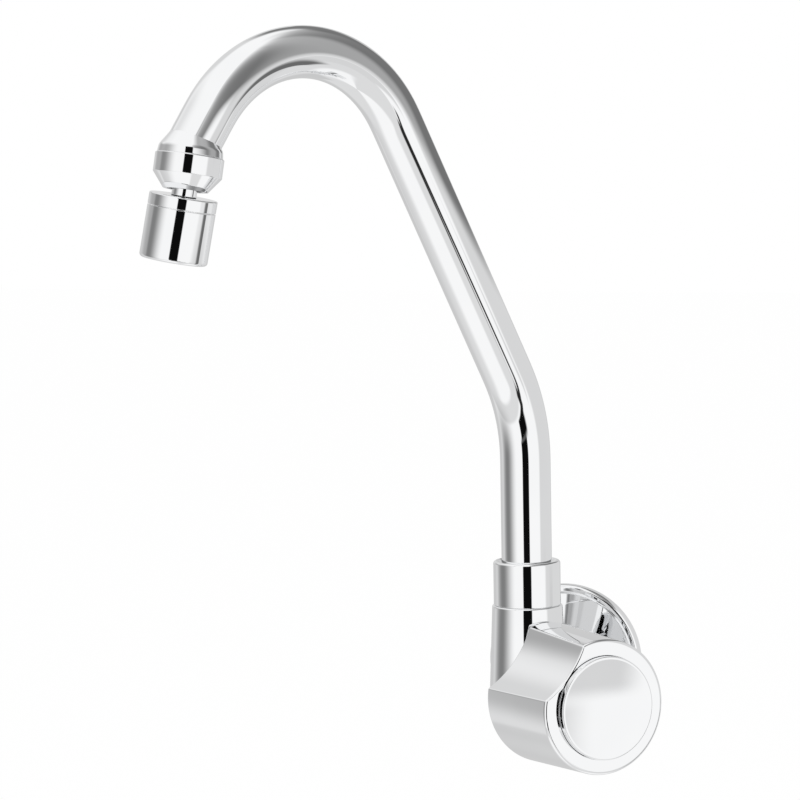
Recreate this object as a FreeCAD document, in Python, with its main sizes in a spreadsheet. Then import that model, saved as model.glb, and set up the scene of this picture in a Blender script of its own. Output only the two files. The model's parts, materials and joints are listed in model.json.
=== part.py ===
import FreeCAD, Part
import math
import os
import re
import Sketcher
from FreeCAD import Placement, Rotation, Vector

# Wall-mounted kitchen faucet with a swivelling gooseneck, a screw-down valve and a ball-joint aerator.
# The origin is the centre of the inlet on the wall face: +Y goes into the wall, -Y to the room, +Z up.
# Lengths are millimetres and angles are degrees.

SIZES = {
    # Clearances and overrun shared by all pieces
    "running_gap": 0.1,
    "thread_gap": 0.05,
    "seal_gap": 0.03,
    "overrun": 1.0,
    # Valve body: upright socket, neck to the wall, inlet thread and valve boss.
    # The seat is counted back from the boss's end, the crossway's foot out from the seat.
    "wall_to_spout": 62.5,
    "body_top": 31.5,
    "body_top_radius": 13.3,
    "body_base_radius": 14.6,
    "body_lip_round": 0.8,
    "neck_radius": 11.5,
    "thread_radius": 10.4775,
    "thread_length": 14,
    "inlet_bore_radius": 6.5,
    "socket_bore_radius": 11.3,
    "socket_floor": 10.5,
    "valve_angle": 44,
    "boss_radius": 12,
    "boss_reach": 30,
    "boss_bore_radius": 9,
    "seat_station": 17,
    "seat_bore_radius": 4.5,
    "seat_rim_width": 1.6,
    "seat_rim_height": 1,
    "crossway_radius": 3.2,
    "crossway_foot_station": 4,
    "crossway_foot_height": 2,
    "crossway_head_station": 6,
    "crossway_head_height": 15.5,
    # Wall escutcheon: pressed plate with a rolled bead, and the seal behind it
    "plate_radius": 30.2,
    "plate_bead_width": 2.4,
    "plate_bead_height": 4.8,
    "plate_face_height": 3.2,
    "plate_crown_height": 5.2,
    "plate_wall": 1.2,
    "plate_bead_round": 1.5,
    "plate_hole_gap": 0.1,
    "wall_seal_width": 1,
    "wall_seal_height": 2.4,
    # Spout collar and slip ring
    "collar_radius": 12.7,
    "collar_height": 16.8,
    "collar_spigot_depth": 5,
    "collar_recess_depth": 1.6,
    "collar_recess_width": 1.5,
    "collar_lip_round": 1.1,
    "slip_ring_height": 1,
    # Spout tube
    "tube_radius": 9.525,
    "tube_wall": 1.0,
    "bend_height": 104.5,
    "bend_radius": 70,
    "lean_angle": 28,
    "lean_length": 110,
    "arch_radius": 49,
    "tip_angle": 35,
    "tip_length": 15,
    "spout_rest_angle": 36,
    # Ferrule on the tube's foot, with two O-rings
    "ferrule_height": 12,
    "ferrule_bore_radius": 7,
    "tube_seat_depth": 5,
    "ring_section": 0.9,
    "ring_margin": 1.0,
    "ring_pitch": 2.9,
    # Outlet adapter, ball-joint nut, ball seal and ball seat
    "outlet_angle": 11,
    "cone_height": 8,
    "cone_top_radius": 7.9,
    "cone_base_radius": 11.8,
    "tip_seat_height": 2,
    "adapter_bore_radius": 7,
    "adapter_spigot_radius": 9.8,
    "adapter_spigot_length": 2.8,
    "nut_radius": 12.3,
    "nut_height": 6.9,
    "nut_cone_height": 5.5,
    "nut_mouth_radius": 6.7,
    "nut_mouth_wall": 1.3,
    "ball_radius": 7,
    "ball_drop": 5.5,
    "ball_seal_height": 1.4,
    "ball_seal_width": 1.9,
    "ball_seat_height": 3.0,
    "ball_seat_foot_radius": 7.4,
    "ball_seat_top_drop": 0.7,
    # Ball stem, aerator head and what hangs in the shell
    "aerator_tilt": 6.7,
    "aerator_tilt_heading": 249,
    "stem_radius": 4.5,
    "stem_bore_radius": 2.5,
    "stem_reach": 9,
    "head_radius": 12.2,
    "head_height": 4.3,
    "head_spigot_radius": 10.4,
    "head_spigot_length": 5,
    "head_round": 0.5,
    "seam_gap": 0.25,
    "shell_height": 18.8,
    "shell_foot_round": 1.3,
    "shell_lip_height": 1.2,
    "shell_lip_radius": 9.4,
    "gasket_height": 1.5,
    "gasket_bore_radius": 7,
    "insert_wall": 1.4,
    "insert_plate": 1.6,
    "insert_hole_radius": 0.8,
    "insert_hole_circle": 5.8,
    "insert_holes": 12,
    "screen_height": 0.4,
    "screen_first_drop": 2.2,
    "screen_pitch": 1.5,
    # Bonnet and gasket: its foot is counted back from the boss's end, its sleeve out from the hexagon
    "bonnet_station": 7.5,
    "gasket_ring_height": 1.2,
    "gasket_ring_width": 2.4,
    "hex_across_flats": 21,
    "hex_height": 5.8,
    "sleeve_radius": 6.5,
    "sleeve_reach": 5,
    "guide_square": 9.2,
    "guide_depth": 9.5,
    "flange_pocket_depth": 2.5,
    # Spindle, its seals and clip: rings are counted from the flange pocket, the key from the clip
    "spindle_radius": 3.5,
    "flange_radius": 4.4,
    "flange_height": 2.2,
    "screw_radius": 2.6,
    "screw_engagement": 3.8,
    "clip_height": 0.8,
    "clip_radius": 5.2,
    "clip_groove_depth": 0.6,
    "spindle_ring_section": 0.75,
    "spindle_ring_station": 1.5,
    "spindle_ring_pitch": 3.2,
    "key_square": 5,
    "key_station": 0.3,
    "key_reach": 8.4,
    "knob_screw_radius": 1.9,
    "knob_screw_depth": 7,
    # Plunger, seat washer and washer screw
    "washer_radius": 6.4,
    "washer_height": 3,
    "washer_hole_radius": 1.7,
    "plunger_disc_radius": 7,
    "plunger_disc_height": 2,
    "plunger_stem_length": 8.5,
    "plunger_socket_depth": 7.3,
    "washer_screw_head_radius": 3.2,
    "washer_screw_head_height": 1.2,
    "washer_screw_length": 4.6,
    # Knob, its cap and its screw: the hub is counted from the clip, the front ring from the key's end
    # and the back from the side of the body
    "knob_radius": 25.2,
    "knob_back_radius": 26.5,
    "knob_back_station": 0.2,
    "knob_ring_station": 4.2,
    "knob_cavity_radius": 17.4,
    "knob_wall": 4,
    "knob_floor_depth": 3,
    "knob_edge_round": 1.3,
    "knob_back_round": 0.9,
    "hub_radius": 7.2,
    "hub_station": 0.7,
    "scoop_radius": 40,
    "scoop_depth": 5.3,
    "scoop_heading": 139.5,
    "cap_radius": 19.3,
    "cap_rise": 2.6,
    "cap_wall": 1.4,
    "cap_dish": 0.7,
    "cap_round": 0.5,
    "knob_screw_head_radius": 3.6,
    "knob_screw_head_height": 2,
}

doc = FreeCAD.newDocument("wall_faucet")
sheet = doc.addObject("Spreadsheet::Sheet", "dims")
for row, (name, value) in enumerate(SIZES.items(), start=1):
    sheet.set(f"A{row}", name)
    sheet.set(f"B{row}", str(value))
    sheet.setAlias(f"B{row}", name)
reckoner = doc.addObject("App::FeaturePython", "reckoner")
doc.recompute()

nodes = []


def bound(text):
    """An expression in which each plain name refers to its cell of the sheet."""
    return re.sub(r"\b[a-z]\w*\b(?!\()", r"dims.\g<0>", text)


def size(text):
    """The number that an expression on the sheet's names gives."""
    return float(reckoner.evalExpression(bound(text)))


def new_body(label):
    """An empty body that becomes a node of this name."""
    body = doc.addObject("PartDesign::Body", label)
    nodes.append(body)
    return body


def origin_plane(body, role):
    """One of the body's own origin planes."""
    return next(o for o in body.Origin.OriginFeatures if o.Role == role)


def outline(body, name, points):
    """A closed sketch of straight sides whose corners are bound to (radius, station) expressions."""
    sketch = body.newObject("Sketcher::SketchObject", name)
    sketch.AttachmentSupport = (origin_plane(body, "XZ_Plane"), "")
    sketch.MapMode = "FlatFace"
    corners = [Vector(size(r), size(z), 0) for r, z in points]
    count = len(corners)
    for i in range(count):
        sketch.addGeometry(Part.LineSegment(corners[i], corners[(i + 1) % count]))
    for i in range(count):
        sketch.addConstraint(Sketcher.Constraint("Coincident", i, 2, (i + 1) % count, 1))
    for i, (r, z) in enumerate(points):
        for kind, text, place in (("DistanceX", r, corners[i].x), ("DistanceY", z, corners[i].y)):
            mark = sketch.addConstraint(Sketcher.Constraint(kind, -1, 1, i, 1, place))
            if text != "0":
                sketch.setExpression(f"Constraints[{mark}]", bound(text))
    return sketch


def turn(body, points, kind="PartDesign::Revolution"):
    """Revolve an outline of (radius, station) corners about the body's own Z axis."""
    name = f"{body.Name}_turning{len(body.Group)}"
    sketch = outline(body, name, points)
    feature = body.newObject(kind, name + "_solid")
    feature.Profile = sketch
    feature.ReferenceAxis = (sketch, ["V_Axis"])
    feature.Angle = 360
    doc.recompute()
    return feature


def turned(label, points):
    """A node that is one revolved outline."""
    body = new_body(label)
    turn(body, points)
    return body


def solid(body, kind, base=Vector(), axis=Vector(0, 0, 1), **sizes):
    """Add or cut a primitive in a body, its sizes bound to the sheet, its own Z turned to axis."""
    feature = body.newObject(f"PartDesign::{kind}", f"{body.Name}_{kind}{len(body.Group)}")
    for key, text in sizes.items():
        feature.setExpression(key, bound(text))
    feature.Placement = Placement(base, Rotation(Vector(0, 0, 1), axis))
    doc.recompute()
    return feature


def rounded(body, radius, chosen):
    """Fillet the body's edges that chosen(edge) picks, with a radius from the sheet."""
    base = body.Tip
    picks = [f"Edge{i}" for i, edge in enumerate(base.Shape.Edges, start=1)
             if not edge.Degenerated and chosen(edge)]
    fillet = body.newObject("PartDesign::Fillet", f"{body.Name}_round{len(body.Group)}")
    fillet.Base = (base, picks)
    fillet.setExpression("Radius", bound(radius))
    doc.recompute()


def rim(radius, station):
    """A test that picks the circular edge of this radius at this station along the body's axis."""
    wanted_radius, wanted_station = size(radius), size(station)

    def test(edge):
        curve = edge.Curve
        return (isinstance(curve, Part.Circle) and math.isclose(curve.Radius, wanted_radius, abs_tol=1e-4)
                and math.isclose(curve.Center.z, wanted_station, abs_tol=1e-4))
    return test


def stand(thing, base, axis=Vector(0, 0, 1), twist=0):
    """Put a node's own origin at base, its Z along axis, turned by twist about that axis."""
    thing.Placement = Placement(base, Rotation(Vector(0, 0, 1), axis) * Rotation(Vector(0, 0, 1), twist))


def rings(label, centres, radius, section):
    """A node of separate O-rings round the node's Z axis, at the given stations."""
    tori = []
    for i, station in enumerate(centres):
        torus = doc.addObject("Part::Torus", f"{label}_{i}")
        torus.setExpression("Radius1", bound(radius))
        torus.setExpression("Radius2", bound(section))
        torus.setExpression("Placement.Base.z", bound(station))
        tori.append(torus)
    group = doc.addObject("Part::Compound", label)
    group.Links = tori
    nodes.append(group)
    doc.recompute()
    return group


# Directions and places that several pieces share
up = Vector(0, 0, 1)
room = Vector(0, -1, 0)
wall = Vector(0, 1, 0)
spout_foot = Vector(0, -size("wall_to_spout"), 0)
valve_turn = math.radians(size("valve_angle"))
valve_way = Vector(math.sin(valve_turn), -math.cos(valve_turn), 0)
rest_turn = math.radians(size("spout_rest_angle"))
spout_way = Vector(-math.sin(rest_turn), -math.cos(rest_turn), 0)
spout_twist = math.degrees(math.atan2(spout_way.y, spout_way.x))


def along(way, station, height=0.0):
    """A point at a station from the spout axis along a horizontal way, at a height."""
    return spout_foot + way * station + up * height


# Places along the valve axis, from the spout axis outwards, with the valve closed
seat_face = "(boss_reach - seat_station)"
washer_foot = seat_face + " + seat_rim_height + seal_gap"
washer_top = washer_foot + " + washer_height"
disc_top = washer_top + " + plunger_disc_height"
plunger_top = disc_top + " + plunger_stem_length"
bonnet_foot = "(boss_reach - bonnet_station)"
pocket_end = bonnet_foot + " + guide_depth + flange_pocket_depth"
bonnet_shoulder = "boss_reach + gasket_ring_height"
hex_end = bonnet_shoulder + " + hex_height"
sleeve_end = hex_end + " + sleeve_reach"
clip_foot = sleeve_end + " + running_gap"
clip_top = clip_foot + " + clip_height"
hub_foot = f"({clip_top} + hub_station)"
key_foot = f"({clip_top} + key_station)"
key_end = key_foot + " + key_reach"
knob_ring = f"({key_end} + knob_ring_station)"
knob_floor = knob_ring + " - knob_floor_depth"
knob_back = "(body_base_radius + knob_back_station)"

# Valve body: a brass casting with an upright spout socket, a neck to the wall and a valve boss
body = new_body("valve_body")
solid(body, "AdditiveSphere", spout_foot, Radius="body_base_radius")
solid(body, "AdditiveCone", spout_foot, Radius1="body_base_radius", Radius2="body_top_radius",
      Height="body_top")
solid(body, "AdditiveCylinder", spout_foot, wall, Radius="neck_radius", Height="wall_to_spout")
solid(body, "AdditiveCylinder", spout_foot, valve_way, Radius="boss_radius", Height="boss_reach")
rounded(body, "body_lip_round", rim("body_top_radius", "body_top"))
solid(body, "AdditiveCylinder", spout_foot, wall, Radius="thread_radius",
      Height="wall_to_spout + thread_length")
solid(body, "SubtractiveCylinder", along(valve_way, size(seat_face)), valve_way,
      Radius="boss_bore_radius", Height="seat_station + overrun")
solid(body, "AdditiveCylinder", along(valve_way, size(seat_face + " - overrun")), valve_way,
      Radius="seat_bore_radius + seat_rim_width", Height="seat_rim_height + overrun")
solid(body, "SubtractiveCylinder", spout_foot, valve_way, Radius="seat_bore_radius",
      Height=seat_face + " + seat_rim_height + overrun")
solid(body, "SubtractiveCylinder", along(room, size("seat_bore_radius / 2")), wall,
      Radius="inlet_bore_radius", Height="wall_to_spout + thread_length + seat_bore_radius / 2 + overrun")
solid(body, "SubtractiveCylinder", along(up, size("socket_floor")), Radius="socket_bore_radius",
      Height="body_top - socket_floor + overrun")
crossway_station = seat_face + " + crossway_foot_station"
crossway_foot = along(valve_way, size(crossway_station), size("crossway_foot_height"))
crossway_head = along(valve_way, size("crossway_head_station"), size("crossway_head_height"))
solid(body, "SubtractiveCylinder", crossway_foot, crossway_head - crossway_foot, Radius="crossway_radius",
      Height=f"sqrt(({crossway_station} - crossway_head_station) ^ 2"
             " + (crossway_head_height - crossway_foot_height) ^ 2)")

# Wall escutcheon: a pressed plate whose rolled bead stands proud of a crowned mirror face
plate_hole = "neck_radius + plate_hole_gap"
plate_foot = "plate_radius - plate_bead_width"
plate_lip = plate_foot + " - plate_wall"
escutcheon = turned("wall_escutcheon", [
    (plate_hole, "plate_crown_height - plate_wall"),
    (plate_foot, "plate_face_height - plate_wall"),
    (plate_foot, "plate_bead_height - plate_wall"),
    ("plate_radius - plate_wall", "plate_bead_height - plate_wall"),
    ("plate_radius - plate_wall", "0"),
    ("plate_radius", "0"),
    ("plate_radius", "plate_bead_height"),
    (plate_lip, "plate_bead_height"),
    (plate_lip, "plate_face_height"),
    (plate_hole, "plate_crown_height"),
])
rounded(escutcheon, "plate_bead_round", rim("plate_radius", "plate_bead_height"))
rounded(escutcheon, "plate_bead_round", rim(plate_lip, "plate_bead_height"))
stand(escutcheon, Vector(), room)

# Wall seal: a soft ring under the plate's edge that keeps water out of the wall
wall_seal = turned("wall_seal", [
    ("plate_radius - plate_wall - running_gap - wall_seal_width", "0"),
    ("plate_radius - plate_wall - running_gap", "0"),
    ("plate_radius - plate_wall - running_gap", "wall_seal_height"),
    ("plate_radius - plate_wall - running_gap - wall_seal_width", "wall_seal_height"),
])
stand(wall_seal, Vector(), room)

# Spout collar: the bright nut that screws into the socket and guides the tube
tube_way = "tube_radius + running_gap"
collar_foot = "body_top - collar_spigot_depth"
collar_top = "body_top + collar_height"
collar = turned("spout_collar", [
    (tube_way, collar_foot),
    ("socket_bore_radius - thread_gap", collar_foot),
    ("socket_bore_radius - thread_gap", "body_top"),
    ("collar_radius", "body_top"),
    ("collar_radius", collar_top),
    (tube_way + " + collar_recess_width", collar_top),
    (tube_way, collar_top + " - collar_recess_depth"),
])
rounded(collar, "collar_lip_round", rim("collar_radius", collar_top))
stand(collar, spout_foot)

# Slip ring: a thin washer of slippery plastic between the collar and the ferrule
ferrule_top = collar_foot + " - slip_ring_height"
slip_ring = turned("slip_ring", [
    (tube_way, ferrule_top),
    ("socket_bore_radius - running_gap", ferrule_top),
    ("socket_bore_radius - running_gap", collar_foot),
    (tube_way, collar_foot),
])
stand(slip_ring, spout_foot)

# Ferrule: the brass foot brazed on the tube, grooved for two O-rings
ferrule_foot = ferrule_top + " - ferrule_height"
ferrule_radius = "socket_bore_radius - running_gap"
ring_radius = "socket_bore_radius - seal_gap - ring_section"
groove_radius = ring_radius + " - ring_section - seal_gap"
ring_stations = [ferrule_foot + f" + ring_margin + ring_section + seal_gap + {i} * ring_pitch"
                 for i in range(2)]
ferrule_side = [(ferrule_radius, ferrule_foot)]
for station in ring_stations:
    below, above = station + " - ring_section - seal_gap", station + " + ring_section + seal_gap"
    ferrule_side += [(ferrule_radius, below), (groove_radius, below), (groove_radius, above),
                     (ferrule_radius, above)]
ferrule = turned("spout_ferrule", [("ferrule_bore_radius", ferrule_foot)] + ferrule_side + [
    (ferrule_radius, ferrule_top),
    ("tube_radius", ferrule_top),
    ("tube_radius", ferrule_top + " - tube_seat_depth"),
    ("ferrule_bore_radius", ferrule_top + " - tube_seat_depth"),
])
stand(ferrule, spout_foot)
spout_rings = rings("spout_o_rings", ring_stations, ring_radius, "ring_section")
stand(spout_rings, spout_foot)

# Spout tube: one drawn tube, upright, leaning out, arched over and ending in a short straight tip
tube_foot = ferrule_top + " - tube_seat_depth"
upright = f"bend_height - ({tube_foot}) - bend_radius * tan(lean_angle / 2)"
tube = new_body("spout_tube")
path = tube.newObject("Sketcher::SketchObject", "tube_path")
path.AttachmentSupport = (origin_plane(tube, "XZ_Plane"), "")
path.MapMode = "FlatFace"
lean = math.radians(size("lean_angle"))
tip = math.radians(size("tip_angle"))
bend = size("bend_radius")
arch = size("arch_radius")
rise_end = Vector(0, size(upright), 0)
bend_hub = rise_end + Vector(bend, 0, 0)
lean_start = bend_hub + Vector(-math.cos(lean), math.sin(lean), 0) * bend
lean_end = lean_start + Vector(math.sin(lean), math.cos(lean), 0) * size("lean_length")
arch_hub = lean_end + Vector(math.cos(lean), -math.sin(lean), 0) * arch
arch_end = arch_hub + Vector(math.cos(tip), math.sin(tip), 0) * arch
tip_end = arch_end + Vector(math.sin(tip), -math.cos(tip), 0) * size("tip_length")
sideways = Vector(0, 0, 1)
half_turn = math.pi
rise, bend_arc, lean_line, arch_arc, tip_line = path.addGeometry([
    Part.LineSegment(Vector(), rise_end),
    Part.ArcOfCircle(Part.Circle(bend_hub, sideways, bend), half_turn - lean, half_turn),
    Part.LineSegment(lean_start, lean_end),
    Part.ArcOfCircle(Part.Circle(arch_hub, sideways, arch), tip, half_turn - lean),
    Part.LineSegment(arch_end, tip_end),
])
start, end = range(1, 3)  # a line's first and second end, as sketches number them
path.addConstraint([
    Sketcher.Constraint("Coincident", rise, start, -1, 1),
    Sketcher.Constraint("Vertical", rise),
    Sketcher.Constraint("Tangent", rise, end, bend_arc, end),
    Sketcher.Constraint("Tangent", bend_arc, start, lean_line, start),
    Sketcher.Constraint("Tangent", lean_line, end, arch_arc, end),
    Sketcher.Constraint("Tangent", arch_arc, start, tip_line, start),
])
path_sizes = (
    ("DistanceY", (rise, start, rise, end), upright),
    ("Radius", (bend_arc,), "bend_radius"),
    ("DistanceX", (lean_line, start, lean_line, end), "lean_length * sin(lean_angle)"),
    ("DistanceY", (lean_line, start, lean_line, end), "lean_length * cos(lean_angle)"),
    ("Radius", (arch_arc,), "arch_radius"),
    ("DistanceX", (tip_line, start, tip_line, end), "tip_length * sin(tip_angle)"),
    ("DistanceY", (tip_line, end, tip_line, start), "tip_length * cos(tip_angle)"),
)
for kind, ends, text in path_sizes:
    mark = path.addConstraint(Sketcher.Constraint(kind, *ends, size(text)))
    path.setExpression(f"Constraints[{mark}]", bound(text))
for kind, text in (("AdditivePipe", "tube_radius"), ("SubtractivePipe", "tube_radius - tube_wall")):
    section = tube.newObject("Sketcher::SketchObject", f"{kind}_section")
    section.AttachmentSupport = (origin_plane(tube, "XY_Plane"), "")
    section.MapMode = "FlatFace"
    section.addGeometry(Part.Circle(Vector(), sideways, size(text)))
    section.addConstraint(Sketcher.Constraint("Coincident", 0, 3, -1, 1))
    mark = section.addConstraint(Sketcher.Constraint("Radius", 0, size(text)))
    section.setExpression(f"Constraints[{mark}]", bound(text))
    pipe = tube.newObject(f"PartDesign::{kind}", f"tube_{kind}")
    pipe.Profile = section
    pipe.Spine = path
    doc.recompute()
stand(tube, along(up, size(tube_foot)), up, spout_twist)

# Outlet frame: its axis leaves the tube's tip at the outlet angle, station 0 at the top of the cone
tip_place = tube.Placement.multVec(Vector(tip_end.x, 0, tip_end.y))
tip_way = spout_way * math.sin(tip) - up * math.cos(tip)
outlet = math.radians(size("outlet_angle"))
outlet_way = spout_way * math.sin(outlet) - up * math.cos(outlet)
outlet_top = tip_place - outlet_way * size("cone_height - tip_seat_height")

# Outlet adapter: a turned cone, bored aslant for the tube's tip and threaded for the nut
spigot_end = "cone_height + adapter_spigot_length"
adapter_turning = doc.addObject("PartDesign::Body", "adapter_turning")
turn(adapter_turning, [
    ("adapter_bore_radius", "0"),
    ("cone_top_radius", "0"),
    ("cone_base_radius", "cone_height"),
    ("adapter_spigot_radius", "cone_height"),
    ("adapter_spigot_radius", spigot_end),
    ("adapter_bore_radius", spigot_end),
])
stand(adapter_turning, outlet_top, outlet_way)
tip_seat = doc.addObject("Part::Cylinder", "adapter_tip_seat")
tip_seat.setExpression("Radius", bound("tube_radius"))
tip_seat.setExpression("Height", bound("tip_length"))
stand(tip_seat, tip_place, -tip_way)
adapter = doc.addObject("Part::Cut", "outlet_adapter")
adapter.Base = adapter_turning
adapter.Tool = tip_seat
nodes.append(adapter)
doc.recompute()

# Ball-joint nut: a straight band over a cone, bored to hold the seal, the ball and its seat
nut_bore = "adapter_spigot_radius + thread_gap"
nut_shoulder = "cone_height + nut_height"
nut_foot = nut_shoulder + " + nut_cone_height"
ball_station = "cone_height + ball_drop"
seat_top = ball_station + " + ball_seat_top_drop"
seat_foot = seat_top + " + ball_seat_height"
nut = turned("ball_nut", [
    (nut_bore, "cone_height"),
    ("nut_radius", "cone_height"),
    ("nut_radius", nut_shoulder),
    ("nut_mouth_radius + nut_mouth_wall", nut_foot),
    ("nut_mouth_radius", nut_foot),
    ("nut_mouth_radius", seat_foot + " + running_gap"),
    ("ball_seat_foot_radius + running_gap", seat_foot + " + running_gap"),
    (nut_bore, seat_top),
])
stand(nut, outlet_top, outlet_way)

# Ball seal: a soft ring between the adapter and the ball
ball_seal = turned("ball_seal", [
    ("ball_radius + seal_gap", spigot_end),
    ("ball_radius + seal_gap + ball_seal_width", spigot_end),
    ("ball_radius + seal_gap + ball_seal_width", spigot_end + " + ball_seal_height"),
    ("ball_radius + seal_gap", spigot_end + " + ball_seal_height"),
])
stand(ball_seal, outlet_top, outlet_way)

# Ball seat: a plastic ring, coned outside and cupped inside, that carries the ball and turns in the nut
ball_seat = turned("ball_seat", [
    ("stem_radius", seat_top),
    ("adapter_spigot_radius - running_gap", seat_top),
    ("ball_seat_foot_radius", seat_foot),
    ("stem_radius", seat_foot),
])
solid(ball_seat, "SubtractiveSphere", up * size(ball_station), Radius="ball_radius + running_gap")
stand(ball_seat, outlet_top, outlet_way)

# Aerator frame: the ball's centre on the outlet axis, its own axis leaning from the outlet axis
ball_place = outlet_top + outlet_way * size(ball_station)
lean_heading = math.radians(size("aerator_tilt_heading"))
lean_side = spout_way * math.cos(lean_heading) + up.cross(spout_way) * math.sin(lean_heading)
tilt_axis = outlet_way.cross(lean_side)
tilt_axis.normalize()
aerator_way = Rotation(tilt_axis, size("aerator_tilt")).multVec(outlet_way)
ball_top = ball_place - aerator_way * size("ball_radius")

# Ball stem: ball, neck and aerator head turned in one piece, bored for the water
head_top = "ball_radius + stem_reach"
head_foot = head_top + " + head_height"
head_end = head_foot + " + head_spigot_length"
stem = new_body("ball_stem")
solid(stem, "AdditiveSphere", up * size("ball_radius"), Radius="ball_radius")
turn(stem, [
    ("0", "ball_radius"),
    ("stem_radius", "ball_radius"),
    ("stem_radius", head_top),
    ("head_radius", head_top),
    ("head_radius", head_foot),
    ("head_spigot_radius", head_foot),
    ("head_spigot_radius", head_end),
    ("0", head_end),
])
rounded(stem, "head_round", rim("head_radius", head_top))
solid(stem, "SubtractiveCylinder", -up * size("overrun"), Radius="stem_bore_radius",
      Height=head_end + " + 2 * overrun")
stand(stem, ball_top, aerator_way)

# Aerator shell: the bright sleeve screwed on the head, with a lip that holds the insert
shell_top = head_foot + " + seam_gap"
shell_foot = shell_top + " + shell_height"
shell_bore = "head_spigot_radius + thread_gap"
lip_top = shell_foot + " - shell_lip_height"
shell = turned("aerator_shell", [
    (shell_bore, shell_top),
    ("head_radius", shell_top),
    ("head_radius", shell_foot),
    ("shell_lip_radius", shell_foot),
    ("shell_lip_radius", lip_top),
    (shell_bore, lip_top),
])
rounded(shell, "shell_foot_round", rim("head_radius", shell_foot))
stand(shell, ball_top, aerator_way)

# Aerator gasket: a flat rubber ring between the head and the insert
insert_top = head_end + " + gasket_height"
insert_radius = shell_bore + " - running_gap"
gasket = turned("aerator_gasket", [
    ("gasket_bore_radius", head_end),
    (insert_radius, head_end),
    (insert_radius, insert_top),
    ("gasket_bore_radius", insert_top),
])
stand(gasket, ball_top, aerator_way)

# Aerator insert: a plastic cup whose plate has a ring of jets
insert_bore = insert_radius + " - insert_wall"
insert = turned("aerator_insert", [
    ("0", insert_top),
    (insert_radius, insert_top),
    (insert_radius, lip_top),
    (insert_bore, lip_top),
    (insert_bore, insert_top + " + insert_plate"),
    ("0", insert_top + " + insert_plate"),
])
jet = insert.newObject("PartDesign::SubtractiveCylinder", "insert_jet")
jet.setExpression("Radius", bound("insert_hole_radius"))
jet.setExpression("Height", bound("insert_plate + 2 * overrun"))
jet.Placement = Placement(Vector(size("insert_hole_circle"), 0, size(insert_top + " - overrun")), Rotation())
jets = insert.newObject("PartDesign::PolarPattern", "insert_jets")
jets.Originals = [jet]
jets.Axis = (next(o for o in insert.Origin.OriginFeatures if o.Role == "Z_Axis"), [""])
jets.Angle = 360
jets.setExpression("Occurrences", bound("insert_holes"))
insert.Tip = jets
doc.recompute()
stand(insert, ball_top, aerator_way)

# Aerator screens: two fine discs inside the cup that break up the jets
discs = []
for i in range(2):
    disc = doc.addObject("Part::Cylinder", f"screen_{i}")
    disc.setExpression("Radius", bound(insert_bore + " - running_gap"))
    disc.setExpression("Height", bound("screen_height"))
    disc.setExpression("Placement.Base.z",
                       bound(f"{insert_top} + insert_plate + screen_first_drop + {i} * screen_pitch"))
    discs.append(disc)
screens = doc.addObject("Part::Compound", "aerator_screens")
screens.Links = discs
nodes.append(screens)
doc.recompute()
stand(screens, ball_top, aerator_way)

# Bonnet: the headwork that screws into the boss, with a hexagon, a front sleeve and a square guide
bonnet = new_body("bonnet")
turn(bonnet, [
    ("0", bonnet_foot),
    ("boss_bore_radius - thread_gap", bonnet_foot),
    ("boss_bore_radius - thread_gap", hex_end),
    ("sleeve_radius", hex_end),
    ("sleeve_radius", sleeve_end),
    ("0", sleeve_end),
])
solid(bonnet, "AdditivePrism", up * size(bonnet_shoulder), Circumradius="hex_across_flats / sqrt(3)",
      Height="hex_height")
solid(bonnet, "SubtractiveBox",
      Vector(-size("guide_square") / 2, -size("guide_square") / 2, size(bonnet_foot + " - overrun")),
      Length="guide_square", Width="guide_square", Height="guide_depth + overrun")
solid(bonnet, "SubtractiveCylinder", up * size(bonnet_foot), Radius="flange_radius + running_gap",
      Height="guide_depth + flange_pocket_depth")
solid(bonnet, "SubtractiveCylinder", up * size(bonnet_foot), Radius="spindle_radius + running_gap",
      Height=f"{sleeve_end} - {bonnet_foot} + overrun")
stand(bonnet, spout_foot, valve_way)

# Bonnet gasket: a flat ring between the boss and the hexagon
bonnet_gasket = turned("bonnet_gasket", [
    ("boss_bore_radius + thread_gap", "boss_reach"),
    ("boss_bore_radius + thread_gap + gasket_ring_width", "boss_reach"),
    ("boss_bore_radius + thread_gap + gasket_ring_width", bonnet_shoulder),
    ("boss_bore_radius + thread_gap", bonnet_shoulder),
])
stand(bonnet_gasket, spout_foot, valve_way)

# Spindle: screw end, flange, two grooves, clip groove and a square key for the knob
flange_top = pocket_end + " - running_gap"
spindle_ring_radius = "spindle_radius + running_gap - seal_gap - spindle_ring_section"
spindle_groove = spindle_ring_radius + " - spindle_ring_section - seal_gap"
spindle_ring_stations = [pocket_end + f" + spindle_ring_station + {i} * spindle_ring_pitch" for i in range(2)]
spindle_side = []
for station in spindle_ring_stations:
    below = station + " - spindle_ring_section - seal_gap"
    above = station + " + spindle_ring_section + seal_gap"
    spindle_side += [("spindle_radius", below), (spindle_groove, below), (spindle_groove, above),
                     ("spindle_radius", above)]
spindle = new_body("spindle")
turn(spindle, [
    ("0", plunger_top + " - screw_engagement"),
    ("screw_radius", plunger_top + " - screw_engagement"),
    ("screw_radius", flange_top + " - flange_height"),
    ("flange_radius", flange_top + " - flange_height"),
    ("flange_radius", flange_top),
    ("spindle_radius", flange_top),
] + spindle_side + [
    ("spindle_radius", clip_foot),
    ("spindle_radius - clip_groove_depth", clip_foot),
    ("spindle_radius - clip_groove_depth", clip_top),
    ("spindle_radius", clip_top),
    ("spindle_radius", key_foot),
    ("0", key_foot),
])
solid(spindle, "AdditiveBox", Vector(-size("key_square") / 2, -size("key_square") / 2, size(key_foot)),
      Length="key_square", Width="key_square", Height="key_reach")
solid(spindle, "SubtractiveCylinder", up * size(key_end + " - knob_screw_depth"), Radius="knob_screw_radius",
      Height="knob_screw_depth + overrun")
stand(spindle, spout_foot, valve_way)
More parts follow.
